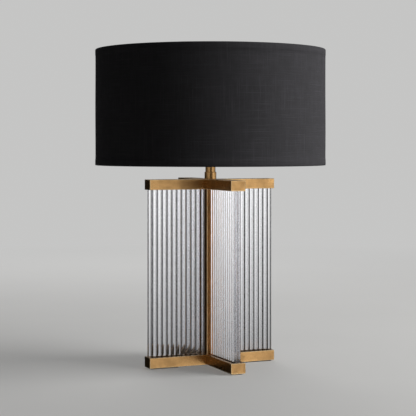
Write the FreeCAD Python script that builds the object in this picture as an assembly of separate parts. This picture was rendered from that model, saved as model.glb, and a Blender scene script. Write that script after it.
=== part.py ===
import FreeCAD, Part
import math
import os

# Column table lamp: two crosses of brass bar hold four fins of glass rods round a square column,
# and a drum shade hangs on a harp above them.
# Millimetres, +Z up. The origin is on the lamp's axis, at the underside of its felt pads.
# The four arms of each cross point along +X, +Y, -X and -Y.

V = FreeCAD.Vector
AXIS = V(0, 0, 1)
ORIGIN = V(0, 0, 0)
ARM_TURNS = (0, 90, 180, 270)
ARM_NAMES = ("right", "back", "left", "front")
SAME_PLACE = 1e-6

# ---- crosses of brass bar ----
bar_width = 30.0
bar_height = 20.0
bar_wall = 1.5
bar_face = 2.5
bar_edge = 0.6
end_cap = 1.5
plate_clear = 0.1

# ---- glass rods, two nested rows in each fin ----
rod_diameter = 9.9
rod_gap = 0.25
row_gap = 0.22
rods_per_row = 11
rod_to_column = 2.9
slot_clear = 0.15
slot_land = 0.5

# ---- column between the crosses ----
column_width = 25.0
column_length = 326.5
column_wall = 1.5
locator_height = 6.0
locator_clear = 0.1

# ---- inside the base ----
felt_thickness = 2.0
felt_length = 58.0
felt_width = 22.0
felt_from_end = 4.0
felt_corner = 3.0
base_plate_thickness = 2.5
ballast_thickness = 10.0
boss_width = 24.0
cushion_thickness = 2.0
screw_place = 50.0
screw_offset = 8.5
screw_diameter = 4.0
screw_head_diameter = 8.0
screw_head_depth = 2.2
screw_grip = 8.0
screw_clear = 0.1

# ---- cord inlet at the end of the back arm ----
inlet_height = 7.0
inlet_bore = 6.2
bushing_flange_diameter = 12.4
bushing_flange = 1.5
bushing_body_diameter = 10.2
bushing_tail_diameter = 8.2
bushing_tail = 4.0
bushing_clear = 0.1
groove_width = 9.0
groove_depth = 8.7

# ---- threaded pipe and its nuts ----
pipe_diameter = 10.3
pipe_bore = 7.0
pipe_clear = 0.15
pipe_lift = 4.5
pipe_above_saddle = 6.0
nut_across_flats = 16.0
nut_height = 5.0
nut_lift = 1.0
washer_diameter = 19.0
washer_thickness = 1.0
counterbore_diameter = 20.0

# ---- inside the top cross ----
locating_plate = 3.0

# ---- neck ----
collar_diameter = 23.5
collar_height = 14.0
collar_wall = 1.9
collar_cavity = 7.5
collar_chamfer = 1.0
collar_spigot = 3.0
neck_diameter = 20.0
neck_wall = 1.0
neck_length = 17.5
spigot_clear = 0.1

# ---- harp and its saddle ----
saddle_thickness = 2.0
saddle_width = 14.0
saddle_end = 5.0
saddle_corner = 4.5
harp_leg_place = 25.0
harp_wire = 3.8
harp_height = 206.0
harp_leg_straight = 34.0
harp_bend_radius = 40.0
harp_flare = 14.0
harp_crown = 4.3
harp_seat_diameter = 12.0
harp_seat_height = 6.0
harp_seat_overlap = 3.5
stud_diameter = 6.2
stud_length = 14.0
post_height = 10.0
post_wall = 1.2
post_clear = 0.2
post_angle = 200.0
ferrule_length = 14.0
ferrule_wall = 1.0
ferrule_clear = 0.2
ferrule_edge = 0.3

# ---- socket ----
cap_hub_diameter = 17.0
cap_hub_height = 7.0
cap_radius = 17.4
cap_wall = 1.0
cap_rim = 5.0
dome_bands = 5
socket_radius = 16.2
socket_wall = 0.8
socket_length = 38.0
socket_lip = 0.8
sleeve_wall = 0.8
sleeve_clear = 0.1
sleeve_setback = 1.0
insulator_foot_diameter = 16.6
insulator_foot = 6.0
insulator_length = 24.0
insulator_clear = 0.2
terminal_diameter = 5.0
terminal_head = 1.4
terminal_height = 12.0
terminal_recess = 2.2
screw_shell_bore = 26.8
screw_shell_wall = 0.6
screw_shell_length = 21.0
contact_diameter = 8.0
contact_height = 3.0
contact_gap = 2.0

# ---- switch key ----
key_height = 8.0
key_shaft_diameter = 4.0
key_shaft_depth = 8.0
key_clear = 0.25
key_gap = 3.0
key_length = 13.0
key_width = 11.0
key_thickness = 2.6

# ---- bulb ----
bulb_radius = 30.0
bulb_neck_radius = 12.6
bulb_length = 106.0
bulb_blend = 34.0
bulb_wall = 1.0
bulb_base_radius = 13.1
bulb_base_wall = 0.4
bulb_base_length = 18.0
bulb_tip_radius = 4.5
bulb_tip_face = 3.15
bulb_tip_edge = 1.5
bulb_cone_radius = 11.1
bulb_tip = 6.0
bulb_seat = 0.1
bulb_neck_in_base = 5.0
blend_bands = 3
ball_bands = 8

# ---- shade ----
shade_diameter = 457.2
shade_height = 228.5
shade_drop = 13.5
trim_thickness = 0.5
trim_height = 12.0
fabric_thickness = 1.0
liner_thickness = 0.8
layer_gap = 0.1
ring_width = 3.0
ring_height = 4.0
ring_inset = 0.8
spider_wire = 4.0
spider_arms = 3
spider_first_arm = 90.0
spider_bend_place = 22.0
spider_bend_radius = 12.0
spider_slope = 45.0
hub_diameter = 27.0
hub_thickness = 3.0
hub_clear = 0.2

# ---- finial ----
finial_base_radius = 6.5
finial_collar = 3.0
finial_waist_radius = 3.9
finial_waist = 3.0
finial_ball_radius = 8.0
finial_clear = 0.15
finial_roof = 1.0
knob_bands = 9

# ---- places worked out from the sizes above ----
rod_pitch = rod_diameter + rod_gap
row_spacing = math.sqrt((rod_diameter + row_gap) ** 2 - (rod_pitch / 2) ** 2)
first_rod = column_width / 2 + rod_to_column + rod_diameter / 2
row_length = (rods_per_row - 1) * rod_pitch
rods_end = first_rod + rod_pitch / 2 + row_length + rod_diameter / 2
arm_length = rods_end + slot_clear + slot_land + end_cap
inner_half_width = bar_width / 2 - bar_wall
inner_length = arm_length - end_cap

base_bottom = felt_thickness
base_top = base_bottom + bar_height
base_roof = base_top - bar_face
ballast_bottom = base_bottom + base_plate_thickness
ballast_top = ballast_bottom + ballast_thickness
rod_bottom = ballast_top + cushion_thickness
top_bottom = base_top + column_length
top_top = top_bottom + bar_height
top_roof = top_top - bar_face
rod_top = top_roof - cushion_thickness
inlet_z = base_bottom + inlet_height

pipe_bottom = ballast_bottom + pipe_lift
pipe_hole = pipe_diameter / 2 + pipe_clear
nut_bottom = pipe_bottom + nut_lift
counterbore_top = nut_bottom + nut_height + washer_thickness
collar_bottom = top_top
collar_top = collar_bottom + collar_height
saddle_bottom = collar_top + neck_length
saddle_top = saddle_bottom + saddle_thickness
pipe_top = saddle_top + pipe_above_saddle

cap_dome_bottom = saddle_top + cap_hub_height
cap_hub_radius = cap_hub_diameter / 2
cap_dome_radius = cap_radius - cap_hub_radius
cap_dome_top = cap_dome_bottom + cap_dome_radius
cap_inside_floor = cap_dome_bottom + cap_wall
socket_bottom = cap_dome_top - cap_wall
socket_top = socket_bottom + socket_length
insulator_top = cap_inside_floor + insulator_length
insulator_radius = socket_radius - socket_wall - sleeve_clear - sleeve_wall - insulator_clear
key_z = cap_dome_top + key_height
key_bore_length = 2 * cap_radius
contact_top = insulator_top + contact_height
bulb_bottom = contact_top + bulb_seat

harp_top = saddle_top + harp_height
hub_bottom = harp_top
hub_top = hub_bottom + hub_thickness
shade_radius = shade_diameter / 2
shade_top = hub_top + shade_drop
shade_bottom = shade_top - shade_height
fabric_radius = shade_radius - trim_thickness - layer_gap
liner_radius = fabric_radius - fabric_thickness - layer_gap
ring_radius = liner_radius - liner_thickness - layer_gap


# ---- small shape helpers ----
def prism(points, bottom, top):
    """Straight prism over a closed outline of (x, y) points."""
    corners = [V(x, y, bottom) for x, y in points]
    face = Part.Face(Part.makePolygon(corners + corners[:1]))
    return face.extrude(AXIS * (top - bottom))


def box(low, high):
    """Box between two opposite corners."""
    size = [h - l for l, h in zip(low, high)]
    return Part.makeBox(*size, V(*low))


def rod(radius, bottom, top, x=0.0, y=0.0):
    """Upright cylinder between two heights."""
    return Part.makeCylinder(radius, top - bottom, V(x, y, bottom))


def ring(outer, inner, bottom, top):
    """Upright ring of rectangular section."""
    return rod(outer, bottom, top).cut(rod(inner, bottom, top))


def turned(outline):
    """Body of revolution about Z over a closed outline of (r, z) points."""
    corners = [V(r, 0, z) for r, z in outline]
    face = Part.Face(Part.makePolygon(corners + corners[:1]))
    return face.revolve(ORIGIN, AXIS, 360)


def on_circle(centre, radius, degrees):
    """Point of the (r, z) plane on a circle."""
    turn = math.radians(degrees)
    return (centre[0] + radius * math.cos(turn), centre[1] + radius * math.sin(turn))


def chords(centre, radius, first, last, count):
    """Points of the (r, z) plane along a circle, which turn into narrow conical bands."""
    return [on_circle(centre, radius, first + (last - first) * i / count) for i in range(count + 1)]


def upright_edges(shape):
    """The straight edges of a block that stand upright."""
    return [e for e in shape.Edges if e.tangentAt(e.FirstParameter).cross(AXIS).Length < SAME_PLACE]


def spun(shape, degrees):
    """Copy of a shape turned about the lamp's axis."""
    copy = shape.copy()
    copy.rotate(ORIGIN, AXIS, degrees)
    return copy


def on_each_arm(shape):
    """The four copies of a shape made for the right arm."""
    return [spun(shape, turn) for turn in ARM_TURNS]


def cross_outline(length, half_width):
    """The twelve corners of a cross."""
    corner = [(length, -half_width), (length, half_width), (half_width, half_width)]
    points = []
    for turn in ARM_TURNS:
        c = round(math.cos(math.radians(turn)))
        s = round(math.sin(math.radians(turn)))
        points += [(c * x - s * y, s * x + c * y) for x, y in corner]
    return points


def slot_prism(bottom, top, clear):
    """Stepped pocket of the right arm's fin: two round-ended slots side by side, half a pitch apart."""
    radius = rod_diameter / 2 + clear
    halves = []
    for side, shift in ((0.5, 0.0), (-0.5, rod_pitch / 2)):
        y = side * row_spacing
        start = first_rod + shift
        end = start + row_length
        slab = box((start, y - radius, bottom), (end, y + radius, top))
        ends = [rod(radius, bottom, top, x, y) for x in (start, end)]
        halves.append(slab.fuse(ends))
    return halves[0].fuse(halves[1]).removeSplitter()


def bevelled_cross(bottom, top):
    """Outer block of a cross with its outer edges broken."""
    block = prism(cross_outline(arm_length, bar_width / 2), bottom, top)
    edges = []
    for edge in block.Edges:
        ends = [v.Point for v in edge.Vertexes]
        level = abs(ends[0].z - ends[1].z) < SAME_PLACE
        outside = max(abs(ends[0].x), abs(ends[0].y)) > arm_length - SAME_PLACE
        if level or outside:
            edges.append(edge)
    return block.makeChamfer(bar_edge, edges)


def hex_nut(bottom, height, hole):
    """Hexagon nut round the lamp's axis."""
    reach = nut_across_flats / 2 / math.cos(math.radians(30))
    points = [on_circle((0, 0), reach, 60 * i) for i in range(6)]
    return prism(points, bottom, bottom + height).cut(rod(hole, bottom, bottom + height))


def bent_rod(corners, radii, diameter):
    """Round bar through (x, z) corners: straight runs joined by tangent arcs, with one radius for each."""
    points = [V(x, 0, z) for x, z in corners]
    here = points[0]
    runs = []
    for before, corner, after, radius in zip(points, points[1:], points[2:], radii):
        arriving = (corner - before).normalize()
        leaving = (after - corner).normalize()
        half_turn = arriving.getAngle(leaving) / 2
        start = corner - arriving * radius * math.tan(half_turn)
        end = corner + leaving * radius * math.tan(half_turn)
        centre = corner + (leaving - arriving).normalize() * (radius / math.cos(half_turn))
        section = Part.Face(Part.Wire([Part.makeCircle(diameter / 2, start, arriving)]))
        runs.append(Part.makeCylinder(diameter / 2, (start - here).Length, here, arriving))
        runs.append(section.revolve(centre, arriving.cross(leaving), math.degrees(2 * half_turn)))
        here = end
    last = points[-1] - here
    runs.append(Part.makeCylinder(diameter / 2, last.Length, here, last))
    return runs[0].fuse(runs[1:])


# ---- crosses ----
def base_casing():
    """Hollow lower cross, open below and at its ends, with a stepped pocket for each fin in its top."""
    shell = bevelled_cross(base_bottom, base_top)
    hollow = prism(cross_outline(arm_length, inner_half_width), base_bottom, base_roof)
    pockets = on_each_arm(slot_prism(base_roof, base_top, slot_clear))
    return shell.cut([hollow, rod(pipe_hole, base_roof, base_top)] + pockets)


def top_casing():
    """Hollow upper cross, open below and at its ends."""
    shell = bevelled_cross(top_bottom, top_top)
    hollow = prism(cross_outline(arm_length, inner_half_width), top_bottom, top_roof)
    return shell.cut([hollow, rod(pipe_hole, top_roof, top_top)])


def end_plate(bottom, top):
    """Plate that closes the end of the right arm."""
    half = inner_half_width - plate_clear
    return box((inner_length, -half, bottom), (arm_length, half, top - plate_clear))


def base_plate():
    """Steel plate that closes the base from below, held to the ballast by countersunk screws."""
    outline = cross_outline(inner_length - plate_clear, inner_half_width - plate_clear)
    plate = prism(outline, base_bottom, ballast_bottom)
    return plate.cut(on_each_arm(screw_form(screw_clear)))


def screw_form(clear):
    """Countersunk screw of the right arm, wider by a clearance."""
    head = screw_head_diameter / 2 + clear
    shank = screw_diameter / 2 + clear
    tip = ballast_bottom + screw_grip + clear
    neck = base_bottom + screw_head_depth
    form = turned([(0, base_bottom), (head, base_bottom), (shank, neck), (shank, tip), (0, tip)])
    form.translate(V(screw_place, screw_offset, 0))
    return form


def base_ballast():
    """Steel weight: its raised centre carries the casing, and the lower nut and the cord run in it."""
    outline = cross_outline(inner_length - plate_clear, inner_half_width - plate_clear)
    weight = prism(outline, ballast_bottom, ballast_top)
    half = boss_width / 2
    weight = weight.fuse(box((-half, -half, ballast_top), (half, half, base_roof)))
    half = groove_width / 2
    groove = box((-half, 0, ballast_bottom), (half, arm_length, ballast_bottom + groove_depth))
    recess = rod(counterbore_diameter / 2, ballast_bottom, counterbore_top)
    bore = rod(pipe_hole, ballast_bottom, base_roof)
    return weight.cut([groove, recess, bore] + on_each_arm(screw_form(screw_clear)))


def rod_cushions(bottom):
    """Rubber strips under or over the four fins."""
    return on_each_arm(slot_prism(bottom, bottom + cushion_thickness, 0.0))


def rod_row(side, shift):
    """One row of upright glass rods in the right arm's fin."""
    y = side * row_spacing
    places = [first_rod + shift + i * rod_pitch for i in range(rods_per_row)]
    return [rod(rod_diameter / 2, rod_bottom, rod_top, x, y) for x in places]


def rod_locating_plate():
    """Brass plate that closes the top cross, with the fins' pockets and a raised centre under the casing."""
    outline = cross_outline(inner_length - plate_clear, inner_half_width - plate_clear)
    plate = prism(outline, top_bottom, top_bottom + locating_plate)
    half = boss_width / 2
    plate = plate.fuse(box((-half, -half, top_bottom + locating_plate), (half, half, top_roof)))
    pockets = on_each_arm(slot_prism(top_bottom, top_bottom + locating_plate, slot_clear))
    return plate.cut([rod(pipe_hole, top_bottom, top_roof)] + pockets)


def felt_pads():
    """Felt pads under the arm ends."""
    end = arm_length - felt_from_end
    pad = box((end - felt_length, -felt_width / 2, 0), (end, felt_width / 2, felt_thickness))
    return on_each_arm(pad.makeFillet(felt_corner, upright_edges(pad)))


def cord_bushing():
    """Flanged bushing in the back arm's end plate, bored for the cord."""
    bore = inlet_bore / 2
    flange = arm_length + bushing_flange
    tail = inner_length - bushing_tail
    sleeve = turned([
        (bore, flange),
        (bushing_flange_diameter / 2, flange),
        (bushing_flange_diameter / 2, arm_length),
        (bushing_body_diameter / 2, arm_length),
        (bushing_body_diameter / 2, inner_length),
        (bushing_tail_diameter / 2, inner_length),
        (bushing_tail_diameter / 2, tail),
        (bore, tail),
    ])
    sleeve.rotate(ORIGIN, V(1, 0, 0), -90)
    sleeve.translate(V(0, 0, inlet_z))
    return sleeve


def inlet_plate():
    """End plate of the back arm, bored for the bushing."""
    plate = spun(end_plate(base_bottom, base_roof), 90)
    radius = bushing_body_diameter / 2 + bushing_clear
    return plate.cut(Part.makeCylinder(radius, arm_length, V(0, 0, inlet_z), V(0, 1, 0)))


# ---- column and pipe ----
def column_tube():
    """Square brass tube between the crosses."""
    half = column_width / 2
    inside = half - column_wall
    outer = box((-half, -half, base_top), (half, half, top_bottom))
    outer = outer.makeChamfer(bar_edge, upright_edges(outer))
    return outer.cut(box((-inside, -inside, base_top), (inside, inside, top_bottom)))


def column_locators():
    """Square plugs that centre the column's ends on the pipe."""
    half = column_width / 2 - column_wall - locator_clear
    plugs = []
    for bottom in (base_top, top_bottom - locator_height):
        top = bottom + locator_height
        plug = box((-half, -half, bottom), (half, half, top))
        plugs.append(plug.cut(rod(pipe_hole, bottom, top)))
    return plugs


def neck_collar():
    """Turned brass collar over the upper nut, with a spigot for the neck tube."""
    outer = collar_diameter / 2
    spigot = neck_diameter / 2 - neck_wall - spigot_clear
    cavity = collar_bottom + collar_cavity
    return turned([
        (outer - collar_wall, collar_bottom),
        (outer, collar_bottom),
        (outer, collar_top - collar_chamfer),
        (outer - collar_chamfer, collar_top),
        (spigot, collar_top),
        (spigot, collar_top + collar_spigot),
        (pipe_hole, collar_top + collar_spigot),
        (pipe_hole, cavity),
        (outer - collar_wall, cavity),
    ])


# ---- harp ----
def harp_saddle():
    """Steel strip under the socket whose ends carry open posts for the harp's legs."""
    reach = harp_leg_place + saddle_end
    strip = box((-reach, -saddle_width / 2, saddle_bottom), (reach, saddle_width / 2, saddle_top))
    strip = strip.makeFillet(saddle_corner, upright_edges(strip))
    inner = harp_wire / 2 + post_clear
    outer = inner + post_wall
    post = Part.makeCylinder(outer, post_height, V(0, 0, saddle_top), AXIS, post_angle)
    post = post.cut(rod(inner, saddle_top, saddle_top + post_height))
    post.rotate(ORIGIN, AXIS, -post_angle / 2)
    post.translate(V(harp_leg_place, 0, 0))
    saddle = strip.fuse([post, spun(post, 180)])
    return saddle.cut(rod(pipe_hole, saddle_bottom, saddle_top))


def harp():
    """Bent wire loop with the seat and stud that carry the shade."""
    crown = harp_top - harp_seat_height + harp_seat_overlap - harp_wire / 2
    flare = math.radians(harp_flare)
    bend = saddle_top + harp_leg_straight + harp_bend_radius * math.tan(flare / 2)
    shoulder = harp_leg_place + (crown - bend) * math.tan(flare)
    shoulder_radius = (shoulder - harp_crown) / math.tan((math.pi / 2 + flare) / 2)
    corners = [(harp_leg_place, saddle_top), (harp_leg_place, bend), (shoulder, crown), (0, crown)]
    half = bent_rod(corners, [harp_bend_radius, shoulder_radius], harp_wire)
    seat = rod(harp_seat_diameter / 2, harp_top - harp_seat_height, harp_top)
    stud = rod(stud_diameter / 2, harp_top, harp_top + stud_length)
    return half.fuse([spun(half, 180), seat, stud]).removeSplitter()


def harp_ferrule(side):
    """Sleeve that slides down a harp leg and locks it in its post."""
    inner = harp_wire / 2 + post_clear + post_wall + ferrule_clear
    outer = inner + ferrule_wall
    top = saddle_top + ferrule_length
    sleeve = turned([
        (inner, saddle_top),
        (outer, saddle_top),
        (outer, top - ferrule_edge),
        (outer - ferrule_edge, top),
        (inner, top),
    ])
    sleeve.translate(V(side * harp_leg_place, 0, 0))
    return sleeve


# ---- socket ----
def socket_cap():
    """Domed brass cap that screws onto the pipe."""
    centre = (cap_hub_radius, cap_dome_top)
    inside = cap_radius - cap_wall
    hollow = inside - cap_hub_radius
    return turned([
        (pipe_hole, saddle_top),
        (cap_hub_radius, saddle_top),
        *chords(centre, cap_dome_radius, -90, 0, dome_bands),
        (cap_radius, cap_dome_top + cap_rim),
        (inside, cap_dome_top + cap_rim),
        *chords(centre, hollow, 0, -90, dome_bands),
        (pipe_hole, cap_inside_floor),
    ])


def key_bore(radius):
    """Straight hole for the switch key's shaft, out through the front of the socket."""
    return Part.makeCylinder(radius, key_bore_length, V(0, 0, key_z), V(0, -1, 0))


def socket_shell():
    """Outer brass shell of the socket, turned in slightly at its mouth."""
    inner = socket_radius - socket_wall
    shell = turned([
        (inner, socket_bottom),
        (socket_radius, socket_bottom),
        (socket_radius, socket_top - socket_lip),
        (socket_radius - socket_lip / 2, socket_top),
        (inner, socket_top),
    ])
    return shell.cut(key_bore(key_shaft_diameter / 2 + key_clear))


def insulating_sleeve():
    """Card sleeve between the shell and the live parts."""
    outer = socket_radius - socket_wall - sleeve_clear
    sleeve = ring(outer, outer - sleeve_wall, socket_bottom, socket_top - sleeve_setback)
    return sleeve.cut(key_bore(key_shaft_diameter / 2 + key_clear))


def socket_insulator():
    """Moulded body that carries the contacts and the switch, with two flats for its terminals."""
    foot_top = cap_inside_floor + insulator_foot
    body = rod(insulator_foot_diameter / 2, cap_inside_floor, foot_top)
    body = body.fuse(rod(insulator_radius, foot_top, insulator_top))
    middle = cap_inside_floor + terminal_height
    flats = []
    for side in (-1, 1):
        face = side * (insulator_radius - terminal_recess)
        outside = side * cap_radius
        low = (min(face, outside), -terminal_diameter, middle - terminal_diameter)
        high = (max(face, outside), terminal_diameter, middle + terminal_diameter)
        flats.append(box(low, high))
    depth = insulator_radius - key_shaft_depth
    hole = key_bore(key_shaft_diameter / 2 + key_clear)
    return body.cut(flats + [hole.cut(rod(depth, cap_inside_floor, insulator_top))])


def terminal_screws():
    """Heads of the two wire terminals on the insulator's flats."""
    heads = []
    for side in (-1, 1):
        face = side * (insulator_radius - terminal_recess)
        base = V(face, 0, cap_inside_floor + terminal_height)
        heads.append(Part.makeCylinder(terminal_diameter / 2, terminal_head, base, V(side, 0, 0)))
    return heads


def screw_shell():
    """Brass shell that the bulb screws into."""
    inner = screw_shell_bore / 2
    hole = contact_diameter / 2 + contact_gap
    return turned([
        (hole, insulator_top),
        (inner + screw_shell_wall, insulator_top),
        (inner + screw_shell_wall, insulator_top + screw_shell_length),
        (inner, insulator_top + screw_shell_length),
        (inner, insulator_top + screw_shell_wall),
        (hole, insulator_top + screw_shell_wall),
    ])


def switch_key():
    """Shaft with a flat oval thumb piece, which turns about the Y axis."""
    inner = insulator_radius - key_shaft_depth
    start = socket_radius + key_gap
    shaft = Part.makeCylinder(
        key_shaft_diameter / 2, start + key_length / 2 - inner, V(0, -inner, key_z), V(0, -1, 0))
    oval = Part.Ellipse(ORIGIN, key_length / 2, key_width / 2).toShape()
    blade = Part.Face(Part.Wire([oval])).extrude(AXIS * key_thickness)
    blade.translate(V(0, 0, -key_thickness / 2))
    blade.rotate(ORIGIN, AXIS, 90)
    blade.rotate(ORIGIN, V(0, 1, 0), 90)
    blade.translate(V(0, -(start + key_length / 2), key_z))
    return shaft.fuse(blade)


# ---- bulb ----
def bulb_profile(inset):
    """Half outline of the bulb's glass from its neck up to its crown, set in by a wall."""
    ball = (0, bulb_bottom + bulb_length - bulb_radius)
    reach = bulb_neck_radius + bulb_blend
    drop = math.sqrt((bulb_radius + bulb_blend) ** 2 - reach ** 2)
    blend = (reach, ball[1] - drop)
    meet = math.degrees(math.atan2(drop, -reach))
    concave = chords(blend, bulb_blend + inset, 180, meet, blend_bands)
    convex = chords(ball, bulb_radius - inset, meet - 180, 90, ball_bands)
    return concave + convex[1:-1] + [(0, convex[-1][1])]


def bulb_glass():
    """Hollow glass envelope, open at its neck."""
    bottom = bulb_bottom + bulb_tip + bulb_base_length - bulb_neck_in_base
    outer = turned([(0, bottom), (bulb_neck_radius, bottom)] + bulb_profile(0.0))
    hollow = turned([(0, bottom), (bulb_neck_radius - bulb_wall, bottom)] + bulb_profile(bulb_wall))
    return outer.cut(hollow)


def bulb_base():
    """Screw base of the bulb with its insulating cone and centre contact."""
    shell_bottom = bulb_bottom + bulb_tip
    top = shell_bottom + bulb_base_length
    inner = bulb_base_radius - bulb_base_wall
    floor = top - bulb_neck_in_base
    return turned([
        (0, bulb_bottom),
        (bulb_tip_face, bulb_bottom),
        (bulb_tip_radius, bulb_bottom + bulb_tip_edge),
        (bulb_cone_radius, shell_bottom),
        (bulb_base_radius, shell_bottom + bulb_tip_edge),
        (bulb_base_radius, top),
        (inner, top),
        (inner, floor),
        (0, floor),
    ])


# ---- shade ----
def spider_arm():
    """One arm of the spider along +X: level from the hub, then up a slope to the ring."""
    low = (hub_bottom + hub_top) / 2
    high = shade_top - ring_inset - ring_height / 2
    upper = ring_radius - spider_bend_place
    lower = upper - (high - low) / math.tan(math.radians(spider_slope))
    start = hub_diameter / 2 - spider_wire
    end = ring_radius - ring_width - layer_gap
    corners = [(start, low), (lower, low), (upper, high), (end, high)]
    return bent_rod(corners, [spider_bend_radius, spider_bend_radius], spider_wire)


def shade_ring(bottom):
    """Steel ring inside the shade's edge."""
    return ring(ring_radius, ring_radius - ring_width, bottom, bottom + ring_height)


def shade_spider():
    """Bent arms and the hub that sits on the harp."""
    arm = spider_arm()
    arms = [spun(arm, spider_first_arm + i * 360 / spider_arms) for i in range(spider_arms)]
    hub = rod(hub_diameter / 2, hub_bottom, hub_top)
    return hub.fuse(arms).cut(rod(stud_diameter / 2 + hub_clear, hub_bottom, hub_top))


def shade_trims():
    """Turned hem bands round both edges of the shade."""
    bands = []
    for bottom in (shade_bottom, shade_top - trim_height):
        bands.append(ring(shade_radius, shade_radius - trim_thickness, bottom, bottom + trim_height))
    return bands


# ---- finial ----
def finial():
    """Turned brass knob that screws onto the harp's stud and holds the shade down."""
    bore = stud_diameter / 2 + finial_clear
    bore_top = harp_top + stud_length + finial_roof
    collar = hub_top + finial_collar
    waist = collar + finial_waist
    sink = math.sqrt(finial_ball_radius ** 2 - finial_waist_radius ** 2)
    ball = (0, waist + sink)
    lowest = -math.degrees(math.atan2(sink, finial_waist_radius))
    knob = chords(ball, finial_ball_radius, lowest, 90, knob_bands)
    return turned([
        (bore, hub_top),
        (finial_base_radius, hub_top),
        (finial_base_radius, collar),
        (finial_waist_radius, collar),
        *knob[:-1],
        (0, knob[-1][1]),
        (0, bore_top),
        (bore, bore_top),
    ])


# ---- all the pieces ----
def pieces():
    """Every piece of the lamp by name; a list is a group of like solids."""
    washer_top = top_top + washer_thickness
    made = {
        "felt_pads": felt_pads(),
        "base_plate": base_plate(),
        "base_plate_screws": on_each_arm(screw_form(0.0)),
        "base_casing": base_casing(),
        "base_ballast": base_ballast(),
        "lower_rod_cushions": rod_cushions(ballast_top),
        "upper_rod_cushions": rod_cushions(rod_top),
        "cord_inlet_plate": inlet_plate(),
        "cord_bushing": cord_bushing(),
        "column_tube": column_tube(),
        "column_locators": column_locators(),
        "threaded_pipe": ring(pipe_diameter / 2, pipe_bore / 2, pipe_bottom, pipe_top),
        "lower_pipe_nut": hex_nut(nut_bottom, nut_height, pipe_hole),
        "lower_pipe_washer": ring(
            washer_diameter / 2, pipe_hole, nut_bottom + nut_height, counterbore_top),
        "upper_pipe_washer": ring(washer_diameter / 2, pipe_hole, top_top, washer_top),
        "upper_pipe_nut": hex_nut(washer_top, nut_height, pipe_hole),
        "rod_locating_plate": rod_locating_plate(),
        "top_casing": top_casing(),
        "neck_collar": neck_collar(),
        "neck_tube": ring(neck_diameter / 2, neck_diameter / 2 - neck_wall, collar_top, saddle_bottom),
        "harp_saddle": harp_saddle(),
        "harp": harp(),
        "left_harp_ferrule": harp_ferrule(-1),
        "right_harp_ferrule": harp_ferrule(1),
        "socket_cap": socket_cap(),
        "socket_insulator": socket_insulator(),
        "terminal_screws": terminal_screws(),
        "screw_shell": screw_shell(),
        "centre_contact": rod(contact_diameter / 2, insulator_top, contact_top),
        "insulating_sleeve": insulating_sleeve(),
        "socket_shell": socket_shell(),
        "switch_key": switch_key(),
        "bulb_glass": bulb_glass(),
        "bulb_base": bulb_base(),
        "shade_fabric": ring(fabric_radius, fabric_radius - fabric_thickness, shade_bottom, shade_top),
        "shade_liner": ring(liner_radius, liner_radius - liner_thickness, shade_bottom, shade_top),
        "shade_trims": shade_trims(),
        "shade_spider": shade_spider(),
        "shade_upper_ring": shade_ring(shade_top - ring_inset - ring_height),
        "shade_lower_ring": shade_ring(shade_bottom + ring_inset),
        "finial": finial(),
    }
    base_ends = on_each_arm(end_plate(base_bottom, base_roof))
    made["base_end_plates"] = [base_ends[i] for i, name in enumerate(ARM_NAMES) if name != "back"]
    made["top_end_plates"] = on_each_arm(end_plate(top_bottom, top_roof))
    for turn, name in zip(ARM_TURNS, ARM_NAMES):
        made[name + "_fin_inner_rods"] = [spun(glass, turn) for glass in rod_row(0.5, 0.0)]
        made[name + "_fin_outer_rods"] = [spun(glass, turn) for glass in rod_row(-0.5, rod_pitch / 2)]
    return made


def main():
    os.makedirs("parts", exist_ok=True)
    for name, made in pieces().items():
        solids = made if isinstance(made, list) else [made]
        solids = [solid for shape in solids for solid in shape.Solids]
        shape = Part.makeCompound(solids) if len(solids) > 1 else solids[0]
        shape.exportStep(os.path.join("parts", name + ".step"))
        bounds = shape.BoundBox
        print(name, len(solids), shape.isValid(), round(shape.Volume / 1000, 2), "cm3",
              [round(v, 1) for v in (bounds.XMin, bounds.YMin, bounds.ZMin)],
              [round(v, 1) for v in (bounds.XMax, bounds.YMax, bounds.ZMax)])


main()
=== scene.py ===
"""Looks of the column table lamp: glass rods, brass, linen shade and the fittings under it."""
import functools
import math

import bmesh
import bpy
import numpy as np
from bpy.props import FloatProperty, FloatVectorProperty, IntProperty, PointerProperty
from mathutils import Matrix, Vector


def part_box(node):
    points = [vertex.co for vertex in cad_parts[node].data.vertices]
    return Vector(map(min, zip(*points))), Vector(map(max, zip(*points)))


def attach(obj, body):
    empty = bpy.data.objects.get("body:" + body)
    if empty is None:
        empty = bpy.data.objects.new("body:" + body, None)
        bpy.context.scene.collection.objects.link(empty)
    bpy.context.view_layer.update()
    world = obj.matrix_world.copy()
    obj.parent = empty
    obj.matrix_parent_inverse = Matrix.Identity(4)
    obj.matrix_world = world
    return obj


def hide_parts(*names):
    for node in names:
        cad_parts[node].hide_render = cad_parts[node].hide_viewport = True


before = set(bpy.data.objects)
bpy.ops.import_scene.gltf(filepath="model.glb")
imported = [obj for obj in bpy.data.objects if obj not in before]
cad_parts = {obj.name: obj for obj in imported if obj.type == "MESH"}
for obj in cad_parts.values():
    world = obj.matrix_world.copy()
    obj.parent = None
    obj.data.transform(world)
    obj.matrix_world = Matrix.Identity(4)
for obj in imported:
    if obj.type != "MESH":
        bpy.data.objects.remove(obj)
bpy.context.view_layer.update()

bl_info = {
    "name": "Column table lamp",
    "version": (1, 0, 0),
    "blender": (4, 5, 0),
    "location": "View3D > Sidebar > Lamp",
    "description": "Builds the finished surfaces of a table lamp with fins of glass rods",
    "category": "Object",
}

MM = 0.001
FULL_TURN = 2 * math.pi
SAME_POINT = 1e-6
NO_LENGTH = 1e-7
ARMS = ("right", "back", "left", "front")

# ---- sizes that more than one piece uses ----
BAR_HALF_WIDTH = 15 * MM
ROD_STEP = 2.05  # from rod to rod, in radii
PIPE_HOLE = 5.3 * MM
STUD_HOLE = 3.3 * MM
STUD_RISE = 14 * MM
HARP_LEG = 25 * MM

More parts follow.
